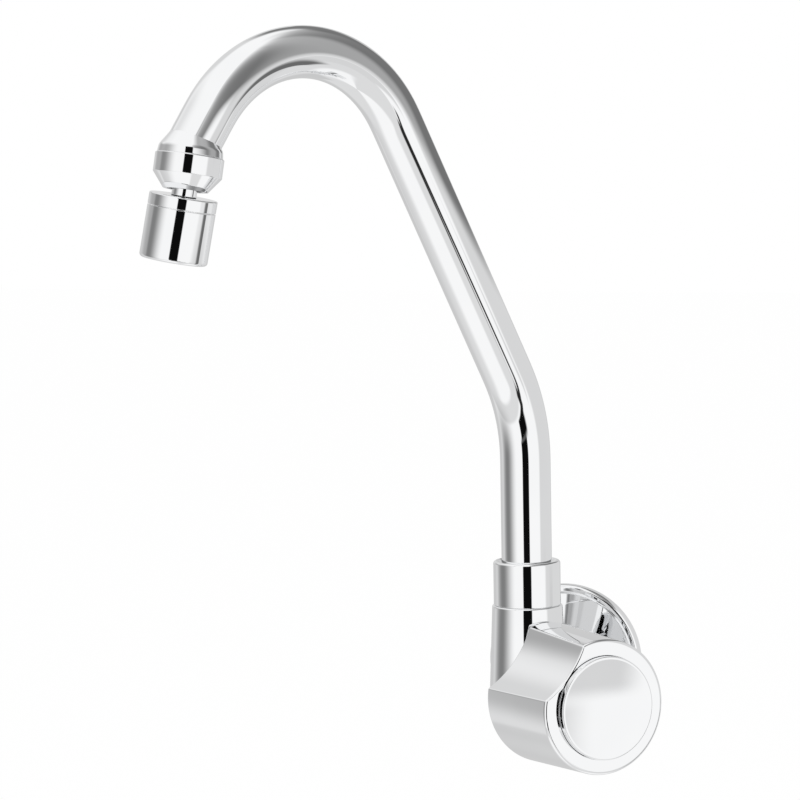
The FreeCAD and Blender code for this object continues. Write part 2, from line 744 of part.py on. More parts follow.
spindle_rings = rings("spindle_o_rings", spindle_ring_stations, spindle_ring_radius, "spindle_ring_section")
stand(spindle_rings, spout_foot, valve_way)

# Spindle clip: a spring ring that keeps the spindle in the bonnet
clip = turned("spindle_clip", [
    ("spindle_radius - clip_groove_depth", clip_foot),
    ("clip_radius", clip_foot),
    ("clip_radius", clip_top),
    ("spindle_radius - clip_groove_depth", clip_top),
])
stand(clip, spout_foot, valve_way)

# Plunger: a square slider that the spindle's screw draws back, carrying the washer's disc
plunger_square = "guide_square - 2 * running_gap"
plunger = new_body("plunger")
turn(plunger, [
    ("0", washer_top),
    ("plunger_disc_radius", washer_top),
    ("plunger_disc_radius", disc_top),
    ("0", disc_top),
])
solid(plunger, "AdditiveBox",
      Vector(-size(plunger_square) / 2, -size(plunger_square) / 2, size(disc_top)),
      Length=plunger_square, Width=plunger_square, Height="plunger_stem_length")
solid(plunger, "SubtractiveCylinder", up * size(plunger_top + " - plunger_socket_depth"),
      Radius="screw_radius + running_gap", Height="plunger_socket_depth + overrun")
solid(plunger, "SubtractiveCylinder", up * size(washer_top + " - overrun"), Radius="washer_hole_radius",
      Height="washer_screw_length - washer_height + overrun")
stand(plunger, spout_foot, valve_way)

# Seat washer: the rubber disc that closes the seat
washer = turned("seat_washer", [
    ("washer_hole_radius", washer_foot),
    ("washer_radius", washer_foot),
    ("washer_radius", washer_top),
    ("washer_hole_radius", washer_top),
])
stand(washer, spout_foot, valve_way)

# Washer screw: holds the washer on the plunger, its head inside the seat's bore
washer_screw = turned("washer_screw", [
    ("0", washer_foot + " - washer_screw_head_height"),
    ("washer_screw_head_radius", washer_foot + " - washer_screw_head_height"),
    ("washer_screw_head_radius", washer_foot),
    ("washer_hole_radius - seal_gap", washer_foot),
    ("washer_hole_radius - seal_gap", washer_foot + " + washer_screw_length"),
    ("0", washer_foot + " + washer_screw_length"),
])
stand(washer_screw, spout_foot, valve_way)

# Knob: a deep cup, a little wider at the back, with one thumb scoop, a hub keyed to the spindle and a seat for the cap
cap_seat = "cap_radius + running_gap"
knob = new_body("knob")
turn(knob, [
    ("knob_cavity_radius", knob_back),
    ("knob_back_radius", knob_back),
    ("knob_radius", knob_ring),
    (cap_seat, knob_ring),
    (cap_seat, knob_floor),
    ("0", knob_floor),
    ("0", hub_foot),
    ("hub_radius", hub_foot),
    ("hub_radius", knob_floor + " - knob_wall"),
    ("knob_cavity_radius", knob_floor + " - knob_wall"),
])
rounded(knob, "knob_edge_round", rim("knob_radius", knob_ring))
rounded(knob, "knob_back_round", rim("knob_back_radius", knob_back))
key_hole = "key_square + 2 * running_gap"
solid(knob, "SubtractiveBox",
      Vector(-size(key_hole) / 2, -size(key_hole) / 2, size(hub_foot + " - overrun")),
      Length=key_hole, Width=key_hole, Height=f"{key_end} - {hub_foot} + overrun + running_gap")
solid(knob, "SubtractiveCylinder", up * size(hub_foot), Radius="knob_screw_radius + running_gap",
      Height=f"{knob_floor} - {hub_foot} + overrun")
scoop_turn = math.radians(size("valve_angle + scoop_heading"))
scoop_way = Vector(math.cos(scoop_turn), math.sin(scoop_turn), 0)
solid(knob, "SubtractiveCylinder",
      scoop_way * size("knob_radius - scoop_depth + scoop_radius") + up * size(knob_back + " - overrun"),
      Radius="scoop_radius", Height=f"{knob_ring} - {knob_back} + 2 * overrun")
stand(knob, spout_foot, valve_way)

# Knob cap: a thin bright cup with a dished face, pressed into the knob's front
cap_top = knob_ring + " + cap_rise"
cap = turned("knob_cap", [
    ("cap_radius - cap_wall", knob_floor),
    ("cap_radius", knob_floor),
    ("cap_radius", cap_top),
    ("0", cap_top),
    ("0", cap_top + " - cap_wall - cap_dish"),
    ("cap_radius - cap_wall", cap_top + " - cap_wall - cap_dish"),
])
dish_radius = "(cap_radius ^ 2 + cap_dish ^ 2) / (2 * cap_dish)"
solid(cap, "SubtractiveSphere", up * size(f"{cap_top} - cap_dish + {dish_radius}"), Radius=dish_radius)
rounded(cap, "cap_round", rim("cap_radius", cap_top))
stand(cap, spout_foot, valve_way)

# Knob screw: holds the knob on the spindle's key, hidden by the cap
knob_screw = turned("knob_screw", [
    ("0", key_end + " - knob_screw_depth + seal_gap"),
    ("knob_screw_radius - seal_gap", key_end + " - knob_screw_depth + seal_gap"),
    ("knob_screw_radius - seal_gap", knob_floor),
    ("knob_screw_head_radius", knob_floor),
    ("knob_screw_head_radius", knob_floor + " + knob_screw_head_height"),
    ("0", knob_floor + " + knob_screw_head_height"),
])
stand(knob_screw, spout_foot, valve_way)

# Every object must be sound before anything is written
doc.recompute()
for thing in doc.Objects:
    if "Invalid" in thing.State or "Error" in thing.State:
        raise RuntimeError(f"{thing.Label} failed: {thing.State}")
for node in nodes:
    if node.Shape.isNull() or not node.Shape.isValid() or not node.Shape.Solids:
        raise RuntimeError(f"{node.Label} has no sound shape")

os.makedirs("parts", exist_ok=True)
for node in nodes:
    node.Shape.exportStep(f"parts/{node.Label}.step")
    print(node.Label, len(node.Shape.Solids), round(node.Shape.Volume, 1))
print("tip", tip_place, "ball", ball_place, "outlet", outlet_way, "aerator", aerator_way, "tilt", tilt_axis)
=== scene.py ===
import json
import math

import bpy
import numpy as np
from mathutils import Matrix, Vector


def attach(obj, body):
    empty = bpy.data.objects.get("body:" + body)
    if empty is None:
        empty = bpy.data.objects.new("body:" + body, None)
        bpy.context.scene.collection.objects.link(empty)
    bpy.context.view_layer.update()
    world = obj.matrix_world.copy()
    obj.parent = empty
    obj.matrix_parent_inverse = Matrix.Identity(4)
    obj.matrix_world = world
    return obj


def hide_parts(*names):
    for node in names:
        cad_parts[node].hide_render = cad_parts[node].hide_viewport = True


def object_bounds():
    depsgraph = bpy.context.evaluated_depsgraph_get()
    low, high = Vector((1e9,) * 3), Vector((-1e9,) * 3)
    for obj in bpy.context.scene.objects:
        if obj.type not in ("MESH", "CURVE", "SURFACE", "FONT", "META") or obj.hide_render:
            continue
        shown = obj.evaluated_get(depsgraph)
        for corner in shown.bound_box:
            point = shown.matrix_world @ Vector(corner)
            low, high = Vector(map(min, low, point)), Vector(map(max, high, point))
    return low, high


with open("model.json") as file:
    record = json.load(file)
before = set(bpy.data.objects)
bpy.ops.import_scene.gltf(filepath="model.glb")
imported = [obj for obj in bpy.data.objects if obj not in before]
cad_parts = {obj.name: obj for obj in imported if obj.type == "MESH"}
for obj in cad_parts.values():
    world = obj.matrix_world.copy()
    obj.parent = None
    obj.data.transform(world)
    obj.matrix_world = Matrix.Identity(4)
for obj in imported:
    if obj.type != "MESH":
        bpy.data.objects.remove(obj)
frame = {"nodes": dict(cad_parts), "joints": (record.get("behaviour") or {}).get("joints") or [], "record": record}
cad_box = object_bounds()

# Valve body: one brass casting, polished and chromed. Its upright socket with a domed foot takes the
# spout, a round neck runs back to the wall and ends in the half-inch thread that screws into the pipe,
# and a short boss at an angle takes the valve. Soft fillets join the three.
mm = 0.001
joints = {joint["name"]: joint for joint in frame["joints"]}
mounts = {mount["name"]: mount for mount in frame["record"]["mounts"]}
spout_foot = np.array(joints["spout_swivel"]["pos_m"], float)
up = np.array(joints["spout_swivel"]["axis"], float)
valve_way = np.array(joints["knob_turn"]["axis"], float)
into_wall = np.array(mounts["inlet_thread"]["axis"], float)
neck_length = np.linalg.norm(np.array(mounts["inlet_thread"]["pos_m"]) - spout_foot)
thread_radius = mounts["inlet_thread"]["dims"]["r_mm"] * mm
thread_length = mounts["inlet_thread"]["dims"]["length_mm"] * mm
thread_pitch, thread_depth = 1.814 * mm, 1.16 * mm
thread_core, thread_inside = thread_radius - 1.5 * thread_depth, thread_radius - 2 * thread_depth
socket_top, socket_top_radius, socket_lip = 31.5 * mm, 13.3 * mm, 0.8 * mm
dome_radius, dome_flat, wall_rows = 14.6 * mm, 0.05 * mm, 16
socket_bore, socket_floor = 11.3 * mm, 13.4 * mm
neck_radius, inlet_bore, inlet_bore_floor = 11.5 * mm, 6.5 * mm, 16 * mm
boss_radius, boss_end, boss_bore = 12 * mm, 30 * mm, 9 * mm
seat_face, seat_rim, seat_rim_radius = 13 * mm, 14 * mm, 6.1 * mm
seat_bore, seat_bore_floor = 4.5 * mm, 11.5 * mm
casting_fillet, root_station, edge_break = 2.4 * mm, 3 * mm, 0.4 * mm
chrome_low, chrome_high, chrome_roughness = (0.90, 0.905, 0.915), (0.94, 0.945, 0.95), 0.015
chrome_clouds, chrome_waves, chrome_wave_height = 45.0, 140.0, 0.5 * mm
mix_colour_sockets = (0, 6, 7, 2)


def unit(vectors):
    """Each vector divided by its own length."""
    return vectors / np.linalg.norm(vectors, axis=-1, keepdims=True)


def eased(corners, rounds, closed=True, step=math.radians(6)):
    """An outline through (radius, station) corners, the metal on its left, its corners turned by arcs.

    An arc's centre stands one round to the inside of the bend from where it leaves the incoming side, and
    its points and normals come from the incoming way turned in even steps. A round of 0 keeps a crisp edge,
    whose point then has one normal from the side before it and another from the side after it.
    """
    corners = np.array(corners, float)
    ways = unit(np.roll(corners, -1, axis=0) - corners)
    ways_in = np.roll(ways, 1, axis=0)
    if not closed:
        ways_in[0], ways[-1] = ways[0], ways[-2]
    points, before, after = [], [], []
    for corner, radius, way_in, way_out in zip(corners, rounds, ways_in, ways):
        bend = math.atan2(way_in[0] * way_out[1] - way_in[1] * way_out[0], way_in @ way_out)
        if radius and bend:
            turns = np.linspace(0, bend, 1 + math.ceil(abs(bend) / step))
            side = math.copysign(radius, bend)
            way = np.stack([way_in[0] * np.cos(turns) - way_in[1] * np.sin(turns),
                            way_in[0] * np.sin(turns) + way_in[1] * np.cos(turns)], axis=1)
            left = np.stack([-way[:, 1], way[:, 0]], axis=1)
            start = corner - way_in * radius * math.tan(abs(bend) / 2)
            points.append(start + side * (left[:1] - left))
            before.append(-left)
            after.append(-left)
        else:
            points.append(corner[None])
            before.append(np.array([[way_in[1], -way_in[0]]]))
            after.append(np.array([[way_out[1], -way_out[0]]]))
    return tuple(np.concatenate(rows) for rows in (points, before, after))


def around(way, steep=0.99):
    """Two unit vectors square to a way, which turn right-handed about it. The first is level, unless the
    way is steep."""
    side = unit(np.cross(up if abs(way @ up) < steep else into_wall, way))
    return side, np.cross(way, side)


def even_turn(steps):
    """The angles of a full turn in so many even steps."""
    return np.arange(steps) * 2 * math.pi / steps


def turned(first, second, angles):
    """A unit vector turned by each angle towards a second that is square to it: the angle's cosine times
    the first and its sine times the second."""
    return np.cos(angles)[:, None] * first + np.sin(angles)[:, None] * second


def spun(outline, foot, way, steps=128):
    """An outline turned about an axis: at each angle its radius goes along the turned spoke, its station
    along the axis, and its normals turn with it. Gives grids of points and of normals before and after."""
    spokes = turned(*around(way), even_turn(steps))
    points, before, after = (flat[:, :1, None] * spokes + flat[:, 1:, None] * way for flat in outline)
    return foot + points, before, after


def skin(grid, looped=False, speck=1e-9):
    """Faces over a grid whose columns close on themselves and whose rows close too if looped.

    A quad joins two neighbouring rows and columns, a row that has shrunk to a speck is one vertex with a
    fan of triangles, and the corners of a face take the normal after its first row and before its second.
    """
    points, before, after = grid
    rows, columns = points.shape[:2]
    pole = np.ptp(points, axis=1).max(axis=1) < speck
    counts = np.where(pole, 1, columns)
    index = (np.cumsum(counts) - counts)[:, None] + np.where(pole[:, None], 0, np.arange(columns))
    vertices = points[~pole[:, None] | (np.arange(columns) == 0)]
    here = np.arange(rows if looped else rows - 1)
    there = (here + 1) % rows
    right = np.roll(np.arange(columns), -1)
    quads = np.stack([index[here], index[here][:, right], index[there][:, right], index[there]], axis=2)
    normals = np.stack([after[here], after[here][:, right], before[there][:, right], before[there]], axis=2)
    full = ~pole[here] & ~pole[there]
    faces = [(quads[full].reshape(-1, 4), normals[full].reshape(-1, 3))]
    for fan, kept in ((pole[here], [0, 2, 3]), (pole[there], [0, 1, 2])):
        faces.append((quads[fan][:, :, kept].reshape(-1, 3), normals[fan][:, :, kept].reshape(-1, 3)))
    return vertices, faces


def piece(name, material, *skins):
    """One object made from one or more skins, keeping the normals worked out for each face's corners."""
    starts = np.cumsum([0] + [len(vertices) for vertices, _ in skins])
    polygons, normals = [], []
    for start, (_, faces) in zip(starts, skins):
        for corners, directions in faces:
            polygons += (corners + start).tolist()
            normals.append(directions)
    mesh = bpy.data.meshes.new(name)
    mesh.from_pydata(np.concatenate([vertices for vertices, _ in skins]), [], polygons)
    mesh.shade_smooth()
    mesh.normals_split_custom_set(unit(np.concatenate(normals)))
    mesh.materials.append(material)
    made = bpy.data.objects.new(name, mesh)
    bpy.context.collection.objects.link(made)
    return made


class Shade:
    """A socket of a material that can stand in sums: each operator adds the Math node that it means."""

    def __init__(self, tree, socket=None):
        self.tree = tree
        self.socket = socket

    def node(self, kind, settings, inputs, output=0):
        """Add a node, make its settings, fill or link its inputs, and give the chosen output."""
        made = self.tree.nodes.new("ShaderNode" + kind)
        for name, value in settings.items():
            setattr(made, name, value)
        for name, value in inputs.items():
            if isinstance(value, Shade):
                self.tree.links.new(value.socket, made.inputs[name])
            else:
                made.inputs[name].default_value = value
        return Shade(self.tree, made.outputs[output] if made.outputs else None)

    def math(self, operation, *values):
        """Add the Math node of an operation over one or more values."""
        return self.node("Math", {"operation": operation}, dict(enumerate(values)))

    def __add__(self, other):
        return self.math("ADD", self, other)

    def __sub__(self, other):
        return self.math("SUBTRACT", self, other)

    def __rsub__(self, other):
        return self.math("SUBTRACT", other, self)

    def __mul__(self, other):
        return self.math("MULTIPLY", self, other)

    def __truediv__(self, other):
        return self.math("DIVIDE", self, other)

    __radd__ = __add__
    __rmul__ = __mul__


def new_material(name):
    """An empty node material, and the Shade that its nodes start from."""
    material = bpy.data.materials.new(name)
    material.use_nodes = True
    material.node_tree.nodes.clear()
    return material, Shade(material.node_tree)


def noise(start, place, scale, detail=2.0):
    """Cloudy noise from 0 to 1 with so many blobs to the metre."""
    return start.node("TexNoise", {}, {"Vector": place, "Scale": scale, "Detail": detail}, "Fac")


def finished(start, cloud, colours, roughness, bump, metallic=0.0):
    """The shader that closes a material: a cloud from 0 to 1 leads the colour and the roughness from the
    first to the second of each pair."""
    factor, first, second, result = mix_colour_sockets
    low, high = ((*colour, 1) for colour in colours)
    colour = start.node("Mix", {"data_type": "RGBA"}, {factor: cloud, first: low, second: high}, result)
    shader = start.node("BsdfPrincipled", {}, {
        "Base Color": colour, "Metallic": metallic, "Normal": bump,
        "Roughness": roughness[0] + (roughness[1] - roughness[0]) * cloud})
    start.node("OutputMaterial", {}, {"Surface": shader})


def chrome_plate(name, haze, ripple=0.02):
    """Polished chrome: bright mirror metal, faintly clouded by haze, with the slightest ripple left by the
    polishing."""
    material, start = new_material(name)
    place = start.node("TexCoord", {}, {}, "Object")
    cloud = noise(start, place, chrome_clouds)
    wave = noise(start, place, chrome_waves)
    bump = start.node("Bump", {}, {"Strength": ripple, "Distance": chrome_wave_height, "Height": wave})
    roughness = (chrome_roughness, chrome_roughness + haze)
    finished(start, cloud, (chrome_low, chrome_high), roughness, bump, metallic=1.0)
    return material


def rolled_fillet(radius, way, ball, steps=128, rows=10):
    """The hollow left by a ball that rolls round the root of a branch while it touches the upright body.

    At each angle the ball's centre lies one ball outside both surfaces. The arc runs about the centre from
    the touch on the branch to the touch on the body, and a last row sunk in the metal closes the ring.
    """
    spokes = turned(*around(way), even_turn(steps))
    out = (radius + ball) * spokes
    height = out @ up
    flat = out - height[:, None] * up
    slope = (dome_radius - socket_top_radius) / socket_top
    body = dome_radius - slope * np.maximum(height, 0) + ball
    reach = np.sqrt(body ** 2 - (flat ** 2).sum(axis=1) - np.minimum(height, 0) ** 2)
    centre = out + reach[:, None] * way
    inward = -unit(centre - np.maximum(height, 0)[:, None] * up)
    spread = np.arccos((-spokes * inward).sum(axis=1))[:, None]
    shares = np.linspace(0, 1, rows)[:, None, None]
    spoke = (np.sin((1 - shares) * spread) * -spokes + np.sin(shares * spread) * inward) / np.sin(spread)
    sunk = unit(inward - spokes) * (ball / np.cos(spread / 2) + ball / 2)
    points = spout_foot + centre + np.concatenate([ball * spoke, sunk[None]])
    normals = -np.concatenate([spoke, spoke[-1:]])
    return points[::-1], normals[::-1], normals[::-1]


def inlet_thread(foot, way, steps=120, rows_per_turn=12):
    """A ring whose outer radius dips once a pitch while the dip climbs one pitch each turn, fading at both
    ends."""
    angles = even_turn(steps)
    stations = np.linspace(0, thread_length, 1 + round(thread_length / thread_pitch * rows_per_turn))
    turns = stations[:, None] / thread_pitch - angles / (2 * math.pi)
    ends = np.minimum(stations, thread_length - stations)[:, None] / thread_pitch
    fade = np.clip(ends, 0, 1)
    radii = thread_radius - thread_depth * (1 - fade * (0.5 + 0.5 * np.cos(2 * math.pi * turns)))
    inside = np.full((1, steps), thread_inside)
    radii = np.concatenate([inside, radii, inside])
    stations = np.concatenate([stations[:1], stations, stations[-1:]])
    spokes = turned(*around(way), angles)
    points = foot + radii[:, :, None] * spokes + stations[:, None, None] * way
    across_rows = np.gradient(points, axis=0)
    round_rows = np.roll(points, -1, axis=1) - np.roll(points, 1, axis=1)
    normals = unit(np.cross(round_rows, across_rows))
    return points, normals, normals


def bored(grid):
    """A grid whose points in the way of the valve's bore are pushed back along it, behind the seat."""
    points, before, after = grid
    along = (points - spout_foot) @ valve_way
    off = np.linalg.norm(points - spout_foot - along[..., None] * valve_way, axis=-1)
    behind = np.maximum(along - seat_bore_floor + edge_break, 0)
    push = np.where((off < boss_bore) & (along > 0), behind, 0)
    return points - push[..., None] * valve_way, before, after


socket_taper = math.atan2(dome_radius - socket_top_radius, socket_top)
dome_corner = dome_radius * (1 + math.tan(socket_taper))
dome_round = (dome_corner - dome_flat) / math.tan((math.pi / 2 + socket_taper) / 2)
wall_stations = np.linspace(0, socket_top, 1 + wall_rows)[1:-1]
socket_wall = np.stack([dome_radius - wall_stations * math.tan(socket_taper), wall_stations], axis=1)
socket_outline = eased(
    [(0, -dome_radius), (dome_corner, -dome_radius), *socket_wall, (socket_top_radius, socket_top),
     (socket_bore, socket_top), (socket_bore, socket_floor), (0, socket_floor)],
    [0, dome_round, *np.zeros(wall_rows - 1), socket_lip, edge_break, 0, 0], closed=False)
thread_end = neck_length + thread_length
neck_outline = eased(
    [(0, root_station), (neck_radius, root_station), (neck_radius, neck_length), (thread_core, neck_length),
     (thread_core, thread_end), (inlet_bore, thread_end), (inlet_bore, inlet_bore_floor),
     (0, inlet_bore_floor)],
    [0, 0, edge_break, 0, 0, edge_break, 0, 0], closed=False)
boss_outline = eased(
    [(0, root_station), (boss_radius, root_station), (boss_radius, boss_end), (boss_bore, boss_end),
     (boss_bore, seat_face), (seat_rim_radius, seat_face), (seat_rim_radius, seat_rim),
     (seat_bore, seat_rim), (seat_bore, seat_bore_floor), (0, seat_bore_floor)],
    [0, 0, edge_break, edge_break, 0, 0, 0, 0, 0, 0], closed=False)
wall_centre = spout_foot + neck_length * into_wall
body_chrome = chrome_plate("chrome on cast brass", haze=0.02)
casting = piece(
    "valve_casting", body_chrome,
    skin(bored(spun(socket_outline, spout_foot, up, steps=192))),
    skin(spun(neck_outline, spout_foot, into_wall)),
    skin(spun(boss_outline, spout_foot, valve_way)),
    skin(rolled_fillet(neck_radius, into_wall, casting_fillet), looped=True),
    skin(rolled_fillet(boss_radius, valve_way, casting_fillet), looped=True),
    skin(inlet_thread(wall_centre, into_wall), looped=True))
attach(casting, "body")
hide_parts("valve_body")

# Wall plate: pressed from thin brass sheet and chromed, slid over the neck to hide the hole in the wall.
# Its face is a shallow mirror cone and its edge is rolled into a bead that stands proud of the face.
plate_radius, plate_height, plate_wall = 30.2 * mm, 4.8 * mm, 1.2 * mm
plate_bead, plate_face, plate_crown = 2.4 * mm, 2.95 * mm, 5.4 * mm
slide_clearance = 0.1 * mm
face_round, fold_round, bead_round = 0.3 * mm, 0.5 * mm, 1.5 * mm
root_round, rim_round = 0.15 * mm, 0.2 * mm
plate_hole, rim_inside = neck_radius + slide_clearance, plate_radius - plate_wall
bead_inside, bead_under = plate_radius - plate_bead, plate_height - plate_wall
bead_foot = bead_inside - plate_wall
plate_outline = eased(
    [(plate_hole, plate_crown - plate_wall), (bead_inside, plate_face - plate_wall),
     (bead_inside, bead_under), (rim_inside, bead_under), (rim_inside, 0), (plate_radius, 0),
     (plate_radius, plate_height), (bead_foot, plate_height), (bead_foot, plate_face),
     (plate_hole, plate_crown)],
    [0, face_round, fold_round, fold_round, 0, rim_round, bead_round, bead_round, root_round, rim_round])
plate_chrome = chrome_plate("chrome on pressed plate", haze=0.02)
wall_plate = piece("wall_plate", plate_chrome,
                   skin(spun(plate_outline, wall_centre, -into_wall, steps=192), looped=True))
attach(wall_plate, "body")
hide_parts("wall_escutcheon")

# Spout collar: a turned brass ring, chromed, whose threaded spigot screws into the socket. It stands a
# little inside the socket's rim, and a chamfer at its mouth leaves a fine dark line round the tube.
tube_radius, tube_wall = 9.525 * mm, 1 * mm
collar_radius, collar_height, collar_spigot_length = 12.7 * mm, 16.8 * mm, 5 * mm
mouth_width, mouth_depth, screw_clearance = 1.5 * mm, 1.6 * mm, 0.05 * mm
collar_foot_round, collar_top_round = 0.3 * mm, 1.1 * mm
mouth_round, mouth_foot_round = 0.4 * mm, 0.3 * mm
tube_way, collar_spigot = tube_radius + slide_clearance, socket_bore - screw_clearance
collar_top, collar_foot = socket_top + collar_height, socket_top - collar_spigot_length
collar_outline = eased(
    [(tube_way, collar_foot), (collar_spigot, collar_foot), (collar_spigot, socket_top),
     (collar_radius, socket_top), (collar_radius, collar_top), (tube_way + mouth_width, collar_top),
     (tube_way, collar_top - mouth_depth)],
    [0, 0, 0, collar_foot_round, collar_top_round, mouth_round, mouth_foot_round])
turned_chrome = chrome_plate("chrome on turned brass", haze=0.015, ripple=0.01)
collar = piece("collar", turned_chrome, skin(spun(collar_outline, spout_foot, up, steps=160), looped=True))
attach(collar, "body")
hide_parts("spout_collar")

# Gooseneck: one drawn brass tube, bent cold, polished and chromed. It rises, leans out, arches over and
# ends in a short straight tip that is brazed into the outlet cone; its foot is brazed in the ferrule.
tube_foot, bend_height, bend_radius, lean = 20.5 * mm, 104.5 * mm, 70 * mm, math.radians(28)
lean_length, arch_radius, tip_angle, tip_length = 110 * mm, 49 * mm, math.radians(35), 15 * mm
bend_easing, path_step = 8 * mm, 1.5 * mm
spout_turn = math.radians(36)
spout_way = np.array([-math.sin(spout_turn), -math.cos(spout_turn), 0])


def gooseneck_path():
    """Centre points and ways of the tube: its heading from upright is the sum of its curvature along the
    length, each bend being a stretch of even curvature whose ends are eased, and its place is the sum of
    the headings."""
    rise = bend_height - tube_foot - bend_radius * math.tan(lean / 2)
    arch_turn = math.pi - tip_angle - lean
    stretches = np.array([rise, bend_radius * lean, lean_length, arch_radius * arch_turn, tip_length])
    ends = np.cumsum(stretches)
    bends = ((ends[0], ends[1], lean), (ends[2], ends[3], arch_turn))
    length = np.linspace(0, ends[-1], 1 + round(ends[-1] / path_step))
    half = bend_easing / 2

    def ramp(station):
        """The sum of a step that is eased over the easing length: a parabola, then a straight line."""
        parabola = (station + half) ** 2 / (4 * half)
        return np.where(station < -half, 0, np.where(station > half, station, parabola))

    heading = sum(turn / (stop - start) * (ramp(length - start) - ramp(length - stop))
                  for start, stop, turn in bends)
    middle = (heading[1:] + heading[:-1]) / 2
    steps = turned(up, spout_way, middle) * np.diff(length)[:, None]
    points = np.concatenate([[np.zeros(3)], np.cumsum(steps, axis=0)])
    return spout_foot + tube_foot * up + points, turned(up, spout_way, heading)


def tube_grid(path, way, outer, wall, steps=112):
    """A tube along a flat path: circles square to the way, the outer wall out and the inner wall back."""
    sideways = np.cross(up, spout_way)
    spokes = turned(np.cross(sideways, way)[:, None], sideways, even_turn(steps))
    outside, inside = (path[:, None] + radius * spokes for radius in (outer, outer - wall))
    points = np.concatenate([outside, inside[::-1]])
    before = np.concatenate([spokes, -spokes[::-1]])
    after = before.copy()
    last = len(path) - 1
    after[last] = before[last + 1] = way[-1]
    after[-1] = before[0] = -way[0]
    return points, before, after


tube_chrome = chrome_plate("chrome on drawn tube", haze=0.015, ripple=0.008)
gooseneck = piece("gooseneck", tube_chrome,
                  skin(tube_grid(*gooseneck_path(), tube_radius, tube_wall), looped=True))
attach(gooseneck, "spout_set")
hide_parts("spout_tube")

# Outlet cone: turned brass, chromed, brazed over the tube's tip at an angle so that the outlet looks
# down. Its base is nearly upright, its shoulder rolls in to the tube, and its spigot takes the nut.
outlet_way = np.array(joints["ball_swivel"]["axis"], float)
ball_centre = np.array(joints["ball_swivel"]["pos_m"], float)
cone_height, ball_drop = 8 * mm, 5.5 * mm
outlet_top = ball_centre - outlet_way * (cone_height + ball_drop)
cone_top_radius, cone_base_radius, outlet_bore = 7.9 * mm, 11.8 * mm, 7 * mm
shoulder_radius, shoulder_station = 11.4 * mm, 5.2 * mm
spigot_radius, spigot_end = 9.8 * mm, 10.8 * mm
cone_top_round, shoulder_round, cone_base_round = 0.3 * mm, 3 * mm, 0.2 * mm
cone_outline = eased(
    [(outlet_bore, 0), (cone_top_radius, 0), (shoulder_radius, shoulder_station),
     (cone_base_radius, cone_height), (spigot_radius, cone_height), (spigot_radius, spigot_end),
     (outlet_bore, spigot_end)],
    [0, cone_top_round, shoulder_round, cone_base_round, 0, 0, 0])
outlet_cone = piece("outlet_cone", turned_chrome,
                    skin(spun(cone_outline, outlet_top, outlet_way), looped=True))
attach(outlet_cone, "spout_set")
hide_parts("outlet_adapter")

# Swivel nut: turned brass, chromed, screwed on the cone's spigot. Its straight band is for the grip and
# its cone draws in to a mouth that holds the ball's seat ring.
nut_radius, nut_band, nut_height = 12.3 * mm, 6.9 * mm, 12.4 * mm
nut_mouth, nut_mouth_rim, nut_bore = 6.7 * mm, 8 * mm, spigot_radius + screw_clearance
seat_top, seat_foot, seat_foot_radius = 14.2 * mm, 17.3 * mm, 7.5 * mm
nut_edge_round, nut_shoulder_round, nut_mouth_round = 0.35 * mm, 0.4 * mm, 0.3 * mm
nut_shoulder, nut_foot = cone_height + nut_band, cone_height + nut_height
nut_outline = eased(
    [(nut_bore, cone_height), (nut_radius, cone_height), (nut_radius, nut_shoulder),
     (nut_mouth_rim, nut_foot), (nut_mouth, nut_foot), (nut_mouth, seat_foot),
     (seat_foot_radius, seat_foot), (nut_bore, seat_top)],
    [0, nut_edge_round, nut_shoulder_round, nut_edge_round, nut_mouth_round, 0, 0, 0])
swivel_nut = piece("swivel_nut", turned_chrome,
                   skin(spun(nut_outline, outlet_top, outlet_way), looped=True))
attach(swivel_nut, "spout_set")
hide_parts("ball_nut")

# Ball, stem and aerator head: one turned brass piece, chromed and bored through. The ball sits in the nut,
# and the head's spigot takes the aerator's sleeve.
tilt_axis = np.array(joints["aerator_tilt"]["axis"], float)
aerator_tilt = math.radians(6.7)
aerator_way = np.array(Matrix.Rotation(aerator_tilt, 3, Vector(tilt_axis)) @ Vector(outlet_way))
ball_radius, stem_radius, stem_bore = 7 * mm, 4.5 * mm, 2.5 * mm
head_radius, head_top, head_foot = 12.2 * mm, 16 * mm, 20.3 * mm
head_spigot, head_end = 10.4 * mm, 25.3 * mm
stem_root_round, head_round, seam_round = 0.4 * mm, 0.5 * mm, 0.15 * mm
ball_top = ball_centre - aerator_way * ball_radius
stem_start = ball_radius + math.sqrt(ball_radius ** 2 - stem_radius ** 2)
bore_mouth = ball_radius - math.sqrt(ball_radius ** 2 - stem_bore ** 2)


def ball_outline(rows=28):
    """The ball from the bore's mouth round to the stem: stations and radii of even steps of angle."""
    mouth, stem = math.asin(stem_bore / ball_radius), math.pi - math.asin(stem_radius / ball_radius)
    angles = np.linspace(mouth, stem, rows)
    normals = np.stack([np.sin(angles), -np.cos(angles)], axis=1)
    return normals * ball_radius + np.array([0, ball_radius]), normals, normals


stem_outline = eased(
    [(stem_radius, stem_start), (stem_radius, head_top), (head_radius, head_top), (head_radius, head_foot),
     (head_spigot, head_foot), (head_spigot, head_end), (stem_bore, head_end), (stem_bore, bore_mouth)],
    [0, stem_root_round, head_round, seam_round, 0, 0, 0, 0])
head_outline = [np.concatenate(rows) for rows in zip(ball_outline(), stem_outline)]
ball_stem = piece("ball_and_head", turned_chrome,
                  skin(spun(head_outline, ball_top, aerator_way), looped=True))
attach(ball_stem, "aerator_set")
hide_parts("ball_stem")

